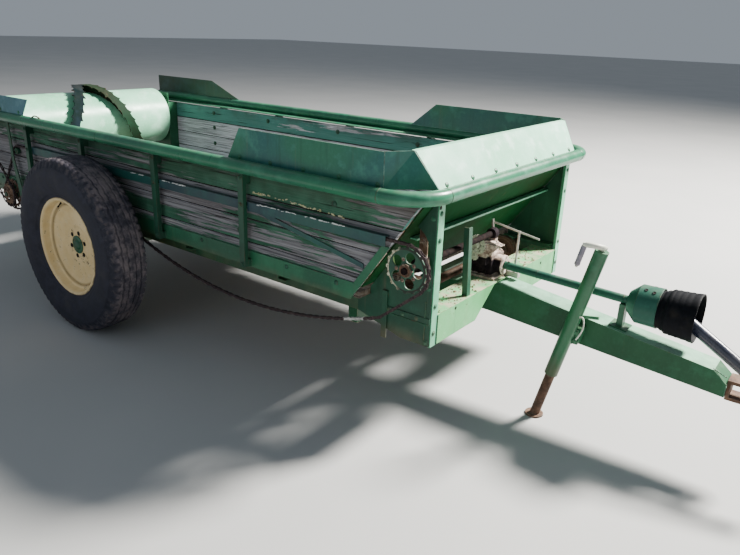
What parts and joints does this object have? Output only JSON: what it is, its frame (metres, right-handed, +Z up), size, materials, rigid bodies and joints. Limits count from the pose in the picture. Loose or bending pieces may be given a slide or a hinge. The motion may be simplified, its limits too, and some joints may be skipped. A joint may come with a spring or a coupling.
{
  "type": "manure spreader",
  "caption": "Towed box manure spreader: wooden box on two wheels, drum beater at the rear, side chain drive, flared front sheet, tongue with screw jack and driveline.",
  "frame": {"origin": "on the ground, in the middle of the whole length and on the machine's centre line", "axes": "+X forward towards the hitch, +Y to the machine's left, +Z up"},
  "size_m": [5.1703, 2.08, 1.253],
  "materials": {
    "green_paint": "worn, chipped farm green with dirt and rust",
    "sunlit_green_paint": "sun-bleached light green paint",
    "rail_paint": "worn green paint, rust brown below",
    "side_wood": "weathered grey boards with remnants of green paint",
    "floor_wood": "dirty weathered planks",
    "rusty_steel": "rusted",
    "chain_steel": "rusty, greasy roller chain",
    "worn_steel": "worn bare steel",
    "worn_sheet": "faded blue-green sheet",
    "rusty_casting": "rusted casting",
    "cream_paint": "cream enamel, slightly rusty",
    "tyre_rubber": "worn dusty road tread",
    "black_rubber": "matt black",
    "dark_plastic": "dark shield tube"
  },
  "bodies": {
    "chassis": {"floor_boards": "floor_wood", "apron": "rusty_steel", "frame_sills": "green_paint", "cross_bearers": "green_paint", "axle": "green_paint", "tongue": "green_paint", "hitch_clevis": "worn_steel", "right_side_boards": "side_wood", "left_side_boards": "side_wood", "side_sills": "green_paint", "stakes": "green_paint", "side_rails": "rail_paint", "front_rail": "rail_paint", "front_slope_panel": "green_paint", "front_stiffener": "green_paint", "front_extension": "sunlit_green_paint", "right_wing": "green_paint", "left_wing": "green_paint", "right_front_plate": "green_paint", "left_front_plate": "green_paint", "front_posts": "sunlit_green_paint", "front_pan": "sunlit_green_paint", "gearbox": "rusty_casting", "gearbox_post": "green_paint", "control_rods": "worn_steel", "shaft_bearing": "rusty_casting", "chain_guard": "worn_sheet", "drive_chain": "chain_steel", "beater_chain": "chain_steel", "chain_tightener": "rusty_steel", "rear_side_plates": "green_paint", "rear_upper_plates": "worn_sheet", "jack_tube": "green_paint", "driveline_shield": "green_paint", "shield_post": "green_paint", "driveline_boot": "black_rubber", "driveline_yoke": "rusty_steel"},
    "right_wheel": {"right_rim": "cream_paint", "right_tyre": "tyre_rubber"},
    "left_wheel": {"left_rim": "cream_paint", "left_tyre": "tyre_rubber"},
    "beater": {"beater_drum": "sunlit_green_paint", "beater_flights": "green_paint", "beater_shaft": "rusty_steel"},
    "intermediate_sprocket": {"mid_sprockets": "rusty_steel"},
    "drive_shaft": {"cross_shaft": "rusty_steel", "drive_sprocket": "rusty_steel"},
    "jack_leg": {"jack_leg": "rusty_steel"},
    "jack_crank": {"jack_crank": "worn_steel"},
    "pto": {"pto_shaft": "dark_plastic"}
  },
  "joints": [
    {"name": "right_wheel_spin", "type": "hinge", "parent": "chassis", "child": "right_wheel", "pos_m": [-0.887, -0.925, 0.488], "axis": [0, 1, 0], "continuous": true},
    {"name": "left_wheel_spin", "type": "hinge", "parent": "chassis", "child": "left_wheel", "pos_m": [-0.887, 0.925, 0.488], "axis": [0, 1, 0], "continuous": true},
    {"name": "beater_spin", "type": "hinge", "parent": "chassis", "child": "beater", "pos_m": [-2.317, 0, 0.94], "axis": [0, 1, 0], "continuous": true},
    {"name": "intermediate_spin", "type": "hinge", "parent": "chassis", "child": "intermediate_sprocket", "pos_m": [-1.947, -0.763, 0.572], "axis": [0, 1, 0], "continuous": true},
    {"name": "drive_shaft_spin", "type": "hinge", "parent": "chassis", "child": "drive_shaft", "pos_m": [1.195, -0.66, 0.8], "axis": [0, 1, 0], "continuous": true},
    {"name": "jack_leg_slide", "type": "slide", "parent": "chassis", "child": "jack_leg", "axis": [0.2233, 0, 0.9748], "range_m": [0, 0.215]},
    {"name": "jack_crank_turn", "type": "hinge", "parent": "chassis", "child": "jack_crank", "pos_m": [1.725, -0.123, 0.83829], "axis": [0.2233, 0, 0.9748], "continuous": true},
    {"name": "pto_lift", "type": "hinge", "parent": "chassis", "child": "pto", "pos_m": [2.043, 0, 0.617], "axis": [0, -1, 0], "range_deg": [0, 50]}
  ],
  "couplings": [
    {"joint": "intermediate_spin", "follows": "beater_spin", "ratio": 1.25},
    {"joint": "drive_shaft_spin", "follows": "beater_spin", "ratio": 1.25}
  ]
}
